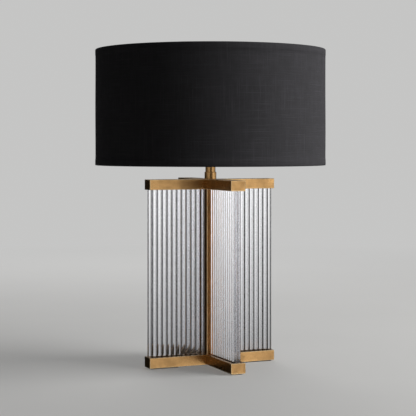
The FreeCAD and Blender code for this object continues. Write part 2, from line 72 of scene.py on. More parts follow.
# ---- the view that the camera matches, in pixels of a square picture ----
PICTURE = 416
FOCAL_LENGTH = 1293.66
HORIZON = 145.1  # below the top edge


# ---- sizes taken from the frame ----
def span(node):
    """Lowest and highest corner of a node as arrays."""
    low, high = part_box(node)
    return np.array(low), np.array(high)


def outer_radius(node):
    """Radius of an upright round node that stands on the lamp's axis."""
    return float(max(span(node)[1][:2]))


def heights(node):
    """Lower and upper height of a node."""
    low, high = span(node)
    return float(low[2]), float(high[2])


def on_right_arm(node):
    """Lowest and highest corner of what a node has on the right arm."""
    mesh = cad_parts[node].data
    points = np.empty(3 * len(mesh.vertices))
    mesh.vertices.foreach_get("co", points)
    points = points.reshape(-1, 3)
    points = points[points[:, 0] > np.abs(points[:, 1])]
    return points.min(axis=0), points.max(axis=0)


# ---- outlines: points of radius and height ----
def mm(points, radius=0.0, height=0.0):
    """Outline points in millimetres, counted from a radius and a height in metres."""
    return np.array(points, float) * MM + [radius, height]


def arc(centre, radius, first, last, count):
    """Points on a circle of the outline plane: centre plus radius times cosine and sine of each angle."""
    turn = np.radians(np.linspace(first, last, count))
    return np.stack([centre[0] + radius * np.cos(turn), centre[1] + radius * np.sin(turn)], axis=1)


def upright(radius, low, high, count):
    """Straight wall at one radius, its points at equal steps of height."""
    return np.stack([np.full(count, radius), np.linspace(low, high, count)], axis=1)


def ring(inner, outer, low, high):
    """Corners of a flat ring's section."""
    return [(inner, low), (outer, low), (outer, high), (inner, high)]


def flipped(points, low, high):
    """Outline points turned upside down between two heights, from last to first."""
    return points[::-1] * [1, -1] + [0, low + high]


def rounded(corners, radius, count=5):
    """Closed outline with its corners rounded by quadratic curves that leave each corner by the radius.
    A point just before and after each curve keeps the straight runs flat in the shading."""
    corners = np.asarray(corners, float)
    before = np.roll(corners, 1, axis=0) - corners
    after = np.roll(corners, -1, axis=0) - corners
    reach_in = np.linalg.norm(before, axis=1, keepdims=True)
    reach_out = np.linalg.norm(after, axis=1, keepdims=True)
    ease = np.minimum(radius, 0.45 * np.minimum(reach_in, reach_out))
    inward = before / reach_in * ease
    onward = after / reach_out * ease
    t = np.linspace(0.0, 1.0, count)[None, :, None]
    start, end = corners + inward, corners + onward
    curve = (1 - t) ** 2 * start[:, None] + 2 * t * (1 - t) * corners[:, None] + t ** 2 * end[:, None]
    ahead, behind = corners + 1.1 * inward, corners + 1.1 * onward
    points = np.concatenate([ahead[:, None], curve, behind[:, None]], axis=1).reshape(-1, 2)
    return np.concatenate([points, points[:1]])


# ---- surfaces as grids ----
def grid(points, marks=None):
    """A grid of points, rows by columns, as (points, quads, marks): quads join neighbouring rows and
    columns, and marks are UV pairs."""
    rows, columns = points.shape[:2]
    if marks is None:
        marks = np.zeros((rows, columns, 2))
    index = np.arange(rows * columns).reshape(rows, columns)
    quads = np.stack([index[:-1, :-1], index[:-1, 1:], index[1:, 1:], index[1:, :-1]], axis=-1)
    return points.reshape(-1, 3), quads.reshape(-1, 4), marks.reshape(-1, 2)


def turned(outline, columns, ripple=None):
    """Surface of revolution: each (radius, height) of the outline times the cosine and sine of the turn.
    Ripple is added to the radius, as a function of turn and height."""
    outline = np.asarray(outline, float)
    turn = np.linspace(0.0, FULL_TURN, columns + 1)
    radius = np.repeat(outline[:, :1], columns + 1, axis=1)
    height = np.repeat(outline[:, 1:], columns + 1, axis=1)
    if ripple is not None:
        radius = radius + ripple(turn[None, :], height)
    points = np.stack([radius * np.cos(turn), radius * np.sin(turn), height], axis=-1)
    step = np.linalg.norm(np.diff(outline, axis=0), axis=1)
    along = np.concatenate([[0.0], np.cumsum(step)])
    round_it = turn * float(outline[:, 0].max())
    return grid(points, np.stack(np.broadcast_arrays(round_it[None, :], along[:, None]), axis=-1))


def swept(path, radius, across, sides):
    """Tube round a flat path: radius times cosine along the path's side and sine along its plane's normal.
    A ring of no radius closes each end."""
    heading = np.gradient(path, axis=0)
    heading /= np.linalg.norm(heading, axis=1, keepdims=True)
    side = np.cross(heading, across)
    path = np.concatenate([path[:1], path, path[-1:]])
    side = np.concatenate([side[:1], side, side[-1:]])
    reach = np.full(len(path), radius)
    reach[[0, -1]] = 0.0
    turn = np.linspace(0.0, FULL_TURN, sides + 1)[None, :, None]
    offset = side[:, None] * np.cos(turn) + np.asarray(across, float) * np.sin(turn)
    return grid(path[:, None] + reach[:, None, None] * offset)


def bent_line(corners, radii, count):
    """Straight runs through corners with tangent arcs between them, as points of a flat path."""
    corners = np.asarray(corners, float)
    points = [corners[:1]]
    for before, corner, after, radius in zip(corners, corners[1:], corners[2:], radii):
        arriving = (corner - before) / np.linalg.norm(corner - before)
        leaving = (after - corner) / np.linalg.norm(after - corner)
        half = math.acos(float(np.clip(arriving @ leaving, -1, 1))) / 2
        inward = (leaving - arriving) / np.linalg.norm(leaving - arriving)
        chord = (arriving + leaving) / np.linalg.norm(arriving + leaving)
        centre = corner + inward * radius / math.cos(half)
        turn = np.linspace(-half, half, count)[:, None]
        points.append(centre - inward * radius * np.cos(turn) + chord * radius * np.sin(turn))
    return np.concatenate([*points, corners[-1:]])


def moved(part, matrix):
    """A part with its points carried by a matrix."""
    points, quads, marks = part
    matrix = np.array(matrix)
    return points @ matrix[:3, :3].T + matrix[:3, 3], quads, marks


def round_axis(part, count, first=0.0):
    """A part copied at equal turns about the lamp's axis."""
    turns = [math.radians(first + 360 / count * i) for i in range(count)]
    return [moved(part, Matrix.Rotation(turn, 4, "Z")) for turn in turns]


def placed(name, data):
    """New object of the scene, with its mesh, light or camera."""
    made = bpy.data.objects.new(name, data)
    bpy.context.scene.collection.objects.link(made)
    return made


def piece(name, parts, material, body, replaced, sharp=35.0):
    """Object from parts whose seams and poles are merged, smooth but for edges over the sharp angle."""
    starts = np.cumsum([0] + [len(points) for points, _, _ in parts[:-1]])
    points = np.concatenate([points for points, _, _ in parts])
    quads = np.concatenate([quads + start for (_, quads, _), start in zip(parts, starts)])
    marks = np.concatenate([marks for _, _, marks in parts])
    mesh = bpy.data.meshes.new(name)
    mesh.vertices.add(len(points))
    mesh.vertices.foreach_set("co", points.astype(np.float32).ravel())
    mesh.loops.add(quads.size)
    mesh.loops.foreach_set("vertex_index", quads.astype(np.int32).ravel())
    mesh.polygons.add(len(quads))
    mesh.polygons.foreach_set("loop_start", np.arange(0, quads.size, 4, dtype=np.int32))
    mesh.update(calc_edges=True)
    layer = mesh.uv_layers.new(name="surface")
    layer.data.foreach_set("uv", marks[quads.ravel()].astype(np.float32).ravel())
    form = bmesh.new()
    form.from_mesh(mesh)
    bmesh.ops.remove_doubles(form, verts=form.verts, dist=SAME_POINT)
    bmesh.ops.dissolve_degenerate(form, edges=form.edges, dist=NO_LENGTH)
    bmesh.ops.recalc_face_normals(form, faces=form.faces)
    form.to_mesh(mesh)
    form.free()
    mesh.polygons.foreach_set("use_smooth", np.ones(len(mesh.polygons), bool))
    mesh.set_sharp_from_angle(angle=math.radians(sharp))
    mesh.materials.append(material)
    made = placed(name, mesh)
    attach(made, body)
    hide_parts(*replaced)
    return made


def finish_nodes(names, material):
    """Gives nodes of the frame their material."""
    for name in names:
        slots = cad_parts[name].data.materials
        slots.clear()
        slots.append(material)


# ---- shader building ----
VECTOR, VALUE, COLOUR = "NodeSocketVector", "NodeSocketFloat", "NodeSocketColor"


def put(tree, kind, wires=None, **settings):
    """New shader node with its settings; wires fills its inputs with plain values or other nodes' outputs."""
    made = tree.nodes.new(kind)
    for key, value in settings.items():
        setattr(made, key, value)
    for key, value in (wires or {}).items():
        if isinstance(value, bpy.types.NodeSocket):
            tree.links.new(value, made.inputs[key])
        else:
            made.inputs[key].default_value = value
    return made


def maths(tree, operation, *values, clamp=False):
    """Output of a maths node."""
    wires = dict(enumerate(values))
    return put(tree, "ShaderNodeMath", wires, operation=operation, use_clamp=clamp).outputs[0]


def times_plus(tree, value, scale, rest, clamp=False):
    """A value times a scale, plus the rest."""
    return maths(tree, "MULTIPLY_ADD", value, scale, rest, clamp=clamp)


def blend_of(tree, share, first, second):
    """Output of a colour mix."""
    return put(tree, "ShaderNodeMix", {0: share, 6: first, 7: second}, data_type="RGBA").outputs[2]


def either_of(tree, share, first, second):
    """Output of a mix of two shaders."""
    return put(tree, "ShaderNodeMixShader", {0: share, 1: first, 2: second}).outputs[0]


def scaled_of(tree, vector, scale):
    """A vector times a scale on each axis."""
    return put(tree, "ShaderNodeVectorMath", {0: vector, 1: scale}, operation="MULTIPLY").outputs[0]


def axes_of(tree, vector):
    """The three parts of a vector."""
    return put(tree, "ShaderNodeSeparateXYZ", {0: vector}).outputs


def sizes_of(tree, vector):
    """The three parts of a vector without their signs."""
    return axes_of(tree, put(tree, "ShaderNodeVectorMath", {0: vector}, operation="ABSOLUTE").outputs[0])


def noise_of(tree, vector, scale, detail, roughness=0.55):
    """Output of a noise."""
    wires = {"Vector": vector, "Scale": scale, "Detail": detail, "Roughness": roughness}
    return put(tree, "ShaderNodeTexNoise", wires).outputs[0]


def step_of(tree, value, low, high):
    """Smooth step of a value between two limits."""
    wires = {"Value": value, "From Min": low, "From Max": high}
    return put(tree, "ShaderNodeMapRange", wires, interpolation_type="SMOOTHSTEP").outputs[0]


def rays_of(tree):
    """Masks of the camera's own rays, and of those that gloss and glass send on."""
    ray = put(tree, "ShaderNodeLightPath").outputs
    return ray["Is Camera Ray"], maths(tree, "MAXIMUM", ray["Is Glossy Ray"], ray["Is Transmission Ray"])


def group_of(name, vectors, values, colours):
    """Shader group with named inputs, and colour, roughness and height as its outputs. Gives its tree and
    inputs."""
    tree = bpy.data.node_groups.new(name, "ShaderNodeTree")
    for way, kind, labels in (
        ("INPUT", VECTOR, vectors), ("INPUT", VALUE, values), ("INPUT", COLOUR, colours),
        ("OUTPUT", COLOUR, ["Color"]), ("OUTPUT", VALUE, ["Roughness", "Height"]),
    ):
        for label in labels:
            tree.interface.new_socket(label, in_out=way, socket_type=kind)
    return tree, tree.nodes.new("NodeGroupInput").outputs


def ended(tree, colour, rough, height):
    """A group with its outputs filled."""
    put(tree, "NodeGroupOutput", {"Color": colour, "Roughness": rough, "Height": height})
    return tree


def patina_group():
    """Brushed metal: fine streaks, cloudy darker patina, and edges painted bright, partly as rubbed wear and
    partly as a painted highlight for the glint of their bevels. The second vector is squeezed so that the
    streaks run along its long axis."""
    tree, given = group_of(
        "patina", ["Vector", "Streaks"], ["Edge", "Patina", "Roughness"], ["Metal", "Dark", "Bright"])
    clouds = noise_of(tree, given["Vector"], 26.0, detail=5.0, roughness=0.6)
    spots = noise_of(tree, given["Vector"], 210.0, detail=3.0, roughness=0.6)
    streaks = noise_of(tree, given["Streaks"], 1.0, detail=4.0, roughness=0.65)
    dark = maths(tree, "MULTIPLY", step_of(tree, clouds, 0.40, 0.70), given["Patina"])
    dark = times_plus(tree, step_of(tree, spots, 0.55, 0.80), 0.25, dark)
    dark = times_plus(tree, step_of(tree, streaks, 0.45, 0.75), 0.18, dark, clamp=True)
    body = blend_of(tree, dark, given["Metal"], given["Dark"])
    # Bright edges: rubbed brass and also a painted highlight along the bevels, broken up by the spots
    wear_and_glint = maths(tree, "MULTIPLY", given["Edge"], step_of(tree, spots, 0.25, 0.60))
    rough = times_plus(tree, dark, 0.18, given["Roughness"])
    rough = times_plus(tree, streaks, 0.10, rough)
    colour = blend_of(tree, wear_and_glint, body, given["Bright"])
    return ended(tree, colour, times_plus(tree, wear_and_glint, -0.08, rough), times_plus(tree, spots, 0.35, streaks))


def mottle_group():
    """Two tones mixed by a cloudy noise and a fine grain, for plastic, paint, felt, card and rubber."""
    tree, given = group_of("mottle", ["Vector"], ["Cloud", "Grain", "Roughness"], ["First", "Second"])
    cloud = noise_of(tree, given["Vector"], given["Cloud"], detail=4.0)
    grain = noise_of(tree, given["Vector"], given["Grain"], detail=2.0)
    both = times_plus(tree, grain, 0.5, maths(tree, "MULTIPLY", cloud, 0.5))
    colour = blend_of(tree, step_of(tree, both, 0.35, 0.65), given["First"], given["Second"])
    away = maths(tree, "SUBTRACT", cloud, 0.5)
    return ended(tree, colour, times_plus(tree, away, 0.15, given["Roughness"]), grain)


def weave_group():
    """Plain linen weave: crossing threads, and slubs that thicken and lighten them here and there. The
    vector is the cloth's own UV in metres."""
    tree, given = group_of("weave", ["Vector"], ["Threads", "Slub"], ["Cloth", "Light"])
    split = axes_of(tree, given["Vector"])
    slubs = []
    ridges = []
    for axis, squeeze in ((0, (1.0, 0.012, 1.0)), (1, (0.012, 1.0, 1.0))):
        drawn = scaled_of(tree, given["Vector"], squeeze)
        stretch = noise_of(tree, drawn, 900.0, detail=2.0, roughness=0.7)
        slubs.append(step_of(tree, stretch, 0.52, 0.78))
        turns = maths(tree, "MULTIPLY", split[axis], given["Threads"])
        wave = maths(tree, "SINE", maths(tree, "MULTIPLY", turns, FULL_TURN))
        ridges.append(times_plus(tree, wave, 0.5, 0.5))
    patches = noise_of(tree, given["Vector"], 55.0, detail=4.0, roughness=0.6)
    threads = maths(tree, "MAXIMUM", *ridges)
    slub = maths(tree, "MULTIPLY", maths(tree, "MAXIMUM", *slubs), given["Slub"])
    tone = times_plus(tree, threads, 0.25, times_plus(tree, patches, 0.25, slub), clamp=True)
    colour = blend_of(tree, tone, given["Cloth"], given["Light"])
    gap = maths(tree, "SUBTRACT", 1.0, threads)
    return ended(tree, colour, times_plus(tree, gap, 0.08, 0.90), times_plus(tree, slub, 1.2, threads))


GROUPS = {"patina": patina_group, "mottle": mottle_group, "weave": weave_group}


def near_of(tree, value, edge, width):
    """One where a value comes within a width of an edge, from below."""
    return step_of(tree, value, edge - width, edge)


def bar_edges(tree, place, low, high, width):
    """Mask of a brass cross's edges, where two of its faces meet: side, end, top or bottom."""
    x, y, _ = sizes_of(tree, place)
    z = axes_of(tree, place)[2]
    side = near_of(tree, maths(tree, "MINIMUM", x, y), BAR_HALF_WIDTH, width)
    end = near_of(tree, maths(tree, "MAXIMUM", x, y), high[0], width)
    away = maths(tree, "ABSOLUTE", maths(tree, "SUBTRACT", z, (low[2] + high[2]) / 2))
    level = near_of(tree, away, (high[2] - low[2]) / 2, width)
    both = maths(tree, "ADD", maths(tree, "ADD", side, end), level)
    return maths(tree, "SUBTRACT", both, 1.0, clamp=True)


def column_edges(tree, place, half, width):
    """Mask of the column's four upright edges."""
    x, y, _ = sizes_of(tree, place)
    both = maths(tree, "ADD", near_of(tree, x, half, width), near_of(tree, y, half, width))
    return maths(tree, "SUBTRACT", both, 1.0, clamp=True)


def along_arms(tree, place):
    """Vector whose streaks run along X in the arms that lie along X, and along Y in the others."""
    coarse, fine = 25.0, 900.0
    x, y, _ = sizes_of(tree, place)
    lies_y = maths(tree, "GREATER_THAN", y, x)
    first = scaled_of(tree, place, (coarse, fine, fine))
    second = scaled_of(tree, place, (fine, coarse, fine))
    return put(tree, "ShaderNodeMix", {0: lies_y, 4: first, 5: second}, data_type="VECTOR").outputs[1]


def up_and_down(tree, place):
    """Vector whose streaks run upright."""
    return scaled_of(tree, place, (600.0, 600.0, 40.0))


def round_and_round(tree, place):
    """Vector whose streaks run round an upright piece, as a lathe leaves them."""
    return scaled_of(tree, place, (60.0, 60.0, 1400.0))


# ---- finishes ----
def opaque(*colour):
    """A colour with nothing seen through it."""
    return (*colour, 1.0)


def relief(tree, shader, height, strength, depth):
    """Bump from a height on the shader's normal."""
    made = put(tree, "ShaderNodeBump", {"Strength": strength, "Distance": depth, "Height": height})
    tree.links.new(made.outputs[0], shader.inputs["Normal"])


def new_material(name, sockets=None):
    """Material with a surface shader, its sockets set, and its output. Gives it with its tree, shader and
    places."""
    made = bpy.data.materials.new(name)
    made.use_nodes = True
    tree = made.node_tree
    tree.nodes.clear()
    shader = put(tree, "ShaderNodeBsdfPrincipled", sockets)
    put(tree, "ShaderNodeOutputMaterial", {"Surface": shader.outputs[0]})
    return made, tree, shader, put(tree, "ShaderNodeTexCoord").outputs


def dressed(name, group, values, depth, strength=0.5, by="Object", sockets=None):
    """Material whose colour, roughness and relief come from a shared group. A value that is a function is
    worked out from the tree and the place."""
    made, tree, shader, places = new_material(name, sockets)
    place = places[by]
    wires = {key: value(tree, place) if callable(value) else value for key, value in values.items()}
    shared = bpy.data.node_groups.get(group) or GROUPS[group]()
    look = put(tree, "ShaderNodeGroup", {"Vector": place, **wires}, node_tree=shared).outputs
    tree.links.new(look["Color"], shader.inputs["Base Color"])
    tree.links.new(look["Roughness"], shader.inputs["Roughness"])
    relief(tree, shader, look["Height"], strength, depth)
    return made


def metal(name, look, streaks=up_and_down, edges=0.0, patina=None, roughness=None, tone=None):
    """Metal with the patina group; streaks and edges are functions of its tree and object place."""
    values = {
        "Streaks": streaks, "Edge": edges,
        "Metal": opaque(*(tone or look.metal)), "Dark": opaque(*look.dark), "Bright": opaque(*look.bright),
        "Patina": look.patina if patina is None else patina,
        "Roughness": look.roughness if roughness is None else roughness,
    }
    return dressed(name, "patina", values, 0.02 * MM, 0.35, sockets={"Metallic": 1.0})


def plain(name, first, second, roughness, cloud=60.0, grain=900.0, depth=0.04 * MM, sockets=None):
    """Finish of two tones with the mottle group."""
    values = {
        "Cloud": cloud, "Grain": grain, "First": opaque(*first), "Second": opaque(*second),
        "Roughness": roughness,
    }
    return dressed(name, "mottle", values, depth, sockets=sockets)


# ---- what a user may change ----
ColourProperty = functools.partial(FloatVectorProperty, subtype="COLOR")
ShareProperty = functools.partial(FloatProperty, min=0.0, max=1.0)
LengthProperty = functools.partial(FloatProperty, min=0.0, unit="LENGTH")
PowerProperty = functools.partial(FloatProperty, min=0.0, unit="POWER")


class LampBrass(bpy.types.PropertyGroup):
    """Finish of the brass crosses, column and neck."""
    metal: ColourProperty(
        name="Metal", description="Colour of the rubbed brass", default=(0.60, 0.35, 0.14))
    dark: ColourProperty(
        name="Patina", description="Colour of the brown patina", default=(0.20, 0.11, 0.045))
    # The edge colour is partly wear and partly a painted highlight where the bevels catch light
    bright: ColourProperty(
        name="Edges", description="Colour of the worn edges", default=(0.92, 0.72, 0.42))
    column: ColourProperty(
        name="Column", description="Colour of the column's redder brass", default=(0.62, 0.29, 0.095))
    patina: ShareProperty(
        name="Patina share", description="How much patina the faces carry", default=0.45)
    neck: ShareProperty(name="Neck patina", description="How much patina the neck carries", default=0.95)
    roughness: ShareProperty(name="Roughness", description="Roughness of the rubbed brass", default=0.22)
    # Width of the bright edges, which carry a painted highlight as well as wear
    edge: LengthProperty(name="Edge width", description="Width of the worn edges", default=1.6 * MM)


class LampFittings(bpy.types.PropertyGroup):
    """Finish of the brighter brass under the shade."""
    metal: ColourProperty(
        name="Metal", description="Colour of the satin brass", default=(0.78, 0.57, 0.28))
    dark: ColourProperty(name="Tarnish", description="Colour of its tarnish", default=(0.42, 0.27, 0.11))
    bright: ColourProperty(
        name="Edges", description="Colour of its worn edges", default=(0.90, 0.72, 0.42))
    patina: ShareProperty(
        name="Tarnish share", description="How much tarnish the fittings carry", default=0.15)
    roughness: ShareProperty(name="Roughness", description="Roughness of the satin brass", default=0.24)


class LampSteel(bpy.types.PropertyGroup):
    """Finish of the plated steel."""
    metal: ColourProperty(
        name="Metal", description="Colour of the zinc plating", default=(0.62, 0.62, 0.60))
    dark: ColourProperty(
        name="Stain", description="Colour of its dull patches", default=(0.34, 0.34, 0.33))
    bright: ColourProperty(name="Edges", description="Colour of its worn edges", default=(0.8, 0.8, 0.8))
    patina: ShareProperty(name="Stain share", description="How dull the plating is", default=0.3)
    roughness: ShareProperty(name="Roughness", description="Roughness of the plating", default=0.3)


class LampGlass(bpy.types.PropertyGroup):
    """The clear rods."""
    tint: ColourProperty(
        name="Tint", description="Colour of light through the rods", default=(0.98, 0.98, 0.99))
    ior: FloatProperty(name="IOR", description="Refraction of the glass", default=1.5, min=1.0, max=2.0)
    roughness: ShareProperty(name="Roughness", description="Roughness of the drawn surface", default=0.02)
    sides: IntProperty(name="Sides", description="Facets round each rod", default=40, min=12)
    rings: IntProperty(name="Rings", description="Rows of facets along each rod", default=20, min=2)
    waver: LengthProperty(
        name="Waver", description="How far the drawn rods vary in radius", default=0.04 * MM)


class LampShade(bpy.types.PropertyGroup):
    """The linen drum."""
    cloth: ColourProperty(
        name="Cloth", description="Colour of the dyed linen", default=(0.036, 0.036, 0.036))
    thread: ColourProperty(
        name="Thread", description="Colour of its lighter threads", default=(0.102, 0.098, 0.110))
    hem: LengthProperty(name="Hem", description="Height of the turned hem band", default=12 * MM)
    turn_in: LengthProperty(
        name="Turn-in", description="Height of the hem inside the rim", default=9 * MM)
    lap: LengthProperty(name="Lap", description="Width of the lapped seam at the back", default=14 * MM)
    weave: FloatProperty(name="Weave", description="Threads in a metre of cloth", default=1500.0)
    slub: ShareProperty(
        name="Slubs", description="How strongly the thick stretches of thread show", default=0.48)


class LampStage(bpy.types.PropertyGroup):
    """Floor, light and camera."""
    backdrop: ColourProperty(
        name="Backdrop", description="Colour behind the lamp", default=(0.56, 0.56, 0.555))
    floor: ColourProperty(name="Floor", description="Colour of the floor", default=(0.74, 0.735, 0.72))
    bounce: ShareProperty(
        name="Bounce", description="Share of the floor's light that reaches the lamp", default=0.4)
    fade: LengthProperty(
        name="Fade", description="Distance at which the floor has become the backdrop", default=3.2)
    glow: ShareProperty(
        name="Glow", description="Share of the backdrop's colour that the near floor has", default=0.25)
    ambient: ShareProperty(
        name="Ambient", description="Strength of the light from all round", default=0.03)
    key: PowerProperty(name="Key", description="Power of the main light", default=92.0)
    key_size: LengthProperty(name="Key size", description="Width of the main light", default=2.4, min=0.1)
    back: PowerProperty(name="Back", description="Power of the light behind the lamp", default=26.0)
    overhead: PowerProperty(name="Overhead", description="Power of the light above", default=6.0)
    distance: LengthProperty(name="Distance", description="Camera to lamp axis", default=2.5745)
    height: LengthProperty(name="Height", description="Camera above the floor", default=0.4358)
    turn: FloatProperty(
        name="Turn", description="Turn of the view from the front arm", default=math.radians(23.3),
        unit="ROTATION")
    aside: LengthProperty(
        name="Aside", description="How far the lamp stands right of the view's centre", default=4.8 * MM,
        min=-1.0)
    focal: FloatProperty(
        name="Focal", description="Focal length in frame widths", default=FOCAL_LENGTH / PICTURE)
    horizon: FloatProperty(
        name="Horizon", description="Height of the horizon over the frame's centre, in frame widths",
        default=0.5 - HORIZON / PICTURE)


# ---- the room that gloss and glass see: heading from +X in degrees, and level ----
ROOM = (
    (-180, 0.30), (-160, 0.45), (-145, 0.75), (-130, 0.75), (-118, 0.06), (-94, 0.05), (-82, 0.38),
    (-71, 0.46), (-63, 1.72), (-48, 1.55), (-38, 0.80), (-14, 0.88), (4, 0.86), (13, 0.05), (50, 0.03),
    (53, 0.92), (60, 0.82), (66, 0.56), (78, 0.56), (88, 0.20), (96, 0.01), (148, 0.01), (162, 0.20),
    (180, 0.30),
)
# ---- its share by the rise of the ray, from straight down at -1 to straight up at 1 ----
ROOM_RISE = (
    (-0.45, 1.20), (-0.28, 1.25), (-0.19, 0.52), (-0.155, 0.58), (-0.125, 0.78), (-0.03, 1.40),
    (0.03, 1.20), (0.08, 0.50), (0.22, 0.42), (0.45, 1.00),
)


# ---- pieces ----
class LAMP_OT_glass_rods(bpy.types.Operator):
    """Two nested rows of drawn glass rods in each fin"""
    bl_idname = "lamp.glass_rods"
    bl_label = "Glass rods"

    def execute(self, context):
        look = context.scene.lamp_glass
        glass = self.glass(look)
        rows = [(arm, row) for arm in ARMS for row in ("inner", "outer")]
        for seed, (arm, row) in enumerate(rows):
            node = f"{arm}_fin_{row}_rods"
            piece(f"{arm}_fin_{row}_glass", self.row(node, look, seed), glass, "root", [node])
        return {"FINISHED"}

    def glass(self, look):
        """Clear glass with faint draw lines along the rods."""
        made, tree, shader, places = new_material("clear_glass", {
            "Base Color": opaque(*look.tint), "Metallic": 0.0, "Transmission Weight": 1.0, "IOR": look.ior,
        })
        lines = noise_of(tree, scaled_of(tree, places["Object"], (700.0, 700.0, 6.0)), 1.0, detail=2.0)
        rough = times_plus(tree, step_of(tree, lines, 0.5, 0.8), 0.03, look.roughness)
        tree.links.new(rough, shader.inputs["Roughness"])
        relief(tree, shader, lines, 0.08, 0.05 * MM)
        return made

    def row(self, node, look, seed):
        """Rods as circles of a radius less the waver times slow waves of height, set at equal steps along
        the arm. Both ends are rounded over a quarter circle, with a ring close by that keeps the walls
        upright in the shading."""
        low, high = span(node)
        long = int(np.argmax(high[:2] - low[:2]))
        radius = float((high - low)[1 - long]) / 2
        count = round(float((high - low)[long]) / (ROD_STEP * radius))
        places = np.repeat(((low + high) / 2)[None], count, axis=0)
        places[:, long] = np.linspace(low[long] + radius, high[long] - radius, count)
        edge = 0.8 * MM
        foot = arc((radius - edge, low[2] + edge), edge, -90, 0, 5)
        wall = upright(radius, low[2] + 1.5 * edge, high[2] - 1.5 * edge, look.rings + 1)
        head = flipped(foot, low[2], high[2])
        reach, height = np.concatenate([[(0.0, low[2])], foot, wall, head, [(0.0, high[2])]]).T
        phase = np.random.default_rng(seed).uniform(0, FULL_TURN, (count, 2, 1))
        wave = 1 + 0.5 * np.sin(21 * height + phase[:, 0]) + 0.5 * np.sin(47 * height + phase[:, 1])
        reach = np.maximum(reach - look.waver * wave * (reach > 0), 0)
        turn = np.linspace(0, FULL_TURN, look.sides + 1)
        circle = np.stack([np.cos(turn), np.sin(turn)], axis=-1)
        points = np.empty((count, len(height), len(turn), 3))
        points[..., :2] = places[:, None, None, :2] + reach[..., None, None] * circle
        points[..., 2] = height[:, None]
        return [grid(rod) for rod in points]


class LAMP_OT_brass_crosses(bpy.types.Operator):
    """Antique brass on both crosses and the column"""
    bl_idname = "lamp.brass_crosses"
    bl_label = "Brass crosses and column"

    def execute(self, context):
        look = context.scene.lamp_brass
        for level, plate in (("base", "cord_inlet_plate"), ("top", "rod_locating_plate")):
            low, high = span(f"{level}_casing")
            # The edge masks place the bright edges on crosses and column: rubbed wear and a painted highlight
            edges = functools.partial(bar_edges, low=low, high=high, width=look.edge)
            brass = metal(f"{level}_cross_brass", look, along_arms, edges)
            finish_nodes([f"{level}_casing", f"{level}_end_plates", plate], brass)
        edges = functools.partial(column_edges, half=span("column_tube")[1][0], width=look.edge)
        finish_nodes(["column_tube"], metal("column_brass", look, edges=edges, tone=look.column))
        return {"FINISHED"}


class LAMP_OT_neck(bpy.types.Operator):
    """Turned collar and tube that rise into the shade"""
    bl_idname = "lamp.neck"
    bl_label = "Neck"

    def execute(self, context):
        look = context.scene.lamp_brass
        brass = metal("neck_brass", look, round_and_round, patina=look.neck)
        low, high = heights("neck_collar")
        tube_low, tube_high = heights("neck_tube")
        outer = outer_radius("neck_collar")
        tube = outer_radius("neck_tube")
        recess = outer - 1.8 * MM
        tenon = tube - 1.1 * MM
        floor = low + 7.5 * MM
        collar = [
            (recess, low), (outer, low), (outer, tube_low - 0.5 * MM), (outer - 0.6 * MM, tube_low),
            (tenon, tube_low), (tenon, high), (PIPE_HOLE, high), (PIPE_HOLE, floor), (recess, floor),
        ]
        wall = ring(tube - MM, tube, tube_low, tube_high)
        for name, node, corners, edge in (
            ("turned_collar", "neck_collar", collar, 0.4 * MM), ("riser_tube", "neck_tube", wall, 0.3 * MM),
        ):
            part = turned(rounded(corners, edge), 96)
            piece(name, [part], brass, "root", [node])
        return {"FINISHED"}


class LAMP_OT_shade_cover(bpy.types.Operator):
    """Linen drum with its hems turned over both rims"""
    bl_idname = "lamp.shade_cover"
    bl_label = "Shade cover"

    def execute(self, context):
        look = context.scene.lamp_shade
        values = {
            "Threads": look.weave, "Slub": look.slub,
            "Cloth": opaque(*look.cloth), "Light": opaque(*look.thread),
        }
        linen = dressed("black_linen", "weave", values, 0.1 * MM, 0.6, "UV", {"Specular IOR Level": 0.04})
        cover = piece(
            "linen_cover", [self.cover(look)], linen, "shade",
            ["shade_fabric", "shade_trims"], sharp=60.0)
        return {"FINISHED"}

    def cover(self, look):
        """Closed outline turned round the axis: up the hem, in to the wall, out to the upper hem, over the
        rim and down inside, then back. The radius gains a slow ripple and a lapped seam at the back."""
        low, high = heights("shade_trims")
        radius = outer_radius("shade_trims")
        hem, turn_in = look.hem / MM, look.turn_in / MM
        lower = mm([
            (-5.8, turn_in), (-5.8, 1.0), (-5.2, 0.2), (-2.2, 0.0), (-0.8, 0.2), (-0.1, 1.2), (0.0, hem / 2),
            (-0.05, hem - 0.6), (-0.2, hem - 0.1), (-0.3, hem),
        ], radius, low)
        wall = upright(radius - 0.3 * MM, low + look.hem, high - look.hem, 26)[1:-1]
        inside = mm([(-1.7, 2.4), (-5.2, 2.2), (-5.3, turn_in)], radius, low)
        outline = np.concatenate([
            lower, wall, flipped(lower, low, high), flipped(inside, low, high), inside, lower[:1]])

        def ripple(turn, height):
            slow = 0.12 * MM * np.sin(9 * turn + 40 * height) + 0.08 * MM * np.sin(23 * turn - 25 * height)
            away = np.abs(turn - math.pi / 2) * radius
            seam = 0.4 * MM * np.clip((look.lap / 2 - away) / (1.5 * MM), 0, 1)
            edge = np.clip(np.minimum(height - low, high - height) / (20 * MM), 0, 1)
            return (slow - 0.2 * MM + seam) * edge

        return turned(outline, 420, ripple)


